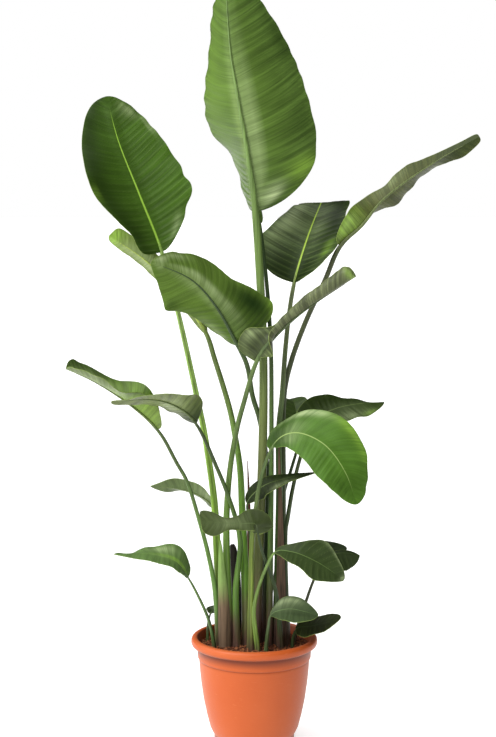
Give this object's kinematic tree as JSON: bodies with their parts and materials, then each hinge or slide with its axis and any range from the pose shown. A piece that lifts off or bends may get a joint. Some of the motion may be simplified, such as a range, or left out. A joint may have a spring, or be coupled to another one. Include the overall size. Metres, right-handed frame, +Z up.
{
  "type": "potted bird of paradise",
  "caption": "Bird of paradise house plant with large paddle-shaped leaves on long stalks, growing in a round plastic nursery pot filled with soil.",
  "frame": {"origin": "centre of the pot's flat underside", "axes": "+Z up along the pot's axis, +Y to the back of the plant, +X to its right as the picture shows it"},
  "size_m": [0.7552, 0.3511, 1.4501],
  "materials": {
    "pot_plastic": "satin terracotta-orange moulded plastic",
    "potting_soil": "rough damp potting mix of bark and fibre",
    "leaf_dark": "glossy dark green upper side with fine parallel veins",
    "leaf_olive": "satin olive green with pale bands along the veins",
    "leaf_green": "satin mid green with pleats along the veins",
    "leaf_light": "satin pale green under side",
    "leaf_bright": "glossy bright green with a pale midrib",
    "dry_sheath": "dull brown dry fibre"
  },
  "bodies": {
    "root": {"pot": "pot_plastic", "soil": "potting_soil", "leaf_top": "leaf_green", "leaf_upper_left": "leaf_dark", "leaf_back_left": "leaf_light", "leaf_arching_left": "leaf_green", "leaf_rolled": "leaf_light", "leaf_upper_right": "leaf_olive", "leaf_far_right": "leaf_olive", "leaf_middle_left": "leaf_light", "leaf_middle_left_front": "leaf_olive", "leaf_low_left": "leaf_light", "leaf_lowest_left": "leaf_green", "leaf_centre_front": "leaf_olive", "leaf_bright_right": "leaf_bright", "leaf_dark_right": "leaf_dark", "leaf_dark_behind": "leaf_dark", "leaf_centre_dark": "leaf_dark", "leaf_low_right": "leaf_green", "leaf_low_right_back": "leaf_dark", "leaf_low_right_side": "leaf_dark", "leaf_base_right": "leaf_green", "leaf_base_right_back": "leaf_dark", "leaf_base_left": "leaf_green", "leaf_young_spear": "leaf_light", "sheath_left": "dry_sheath", "sheath_right": "dry_sheath", "sheath_middle": "dry_sheath", "sheath_back": "dry_sheath"}
  },
  "joints": []
}
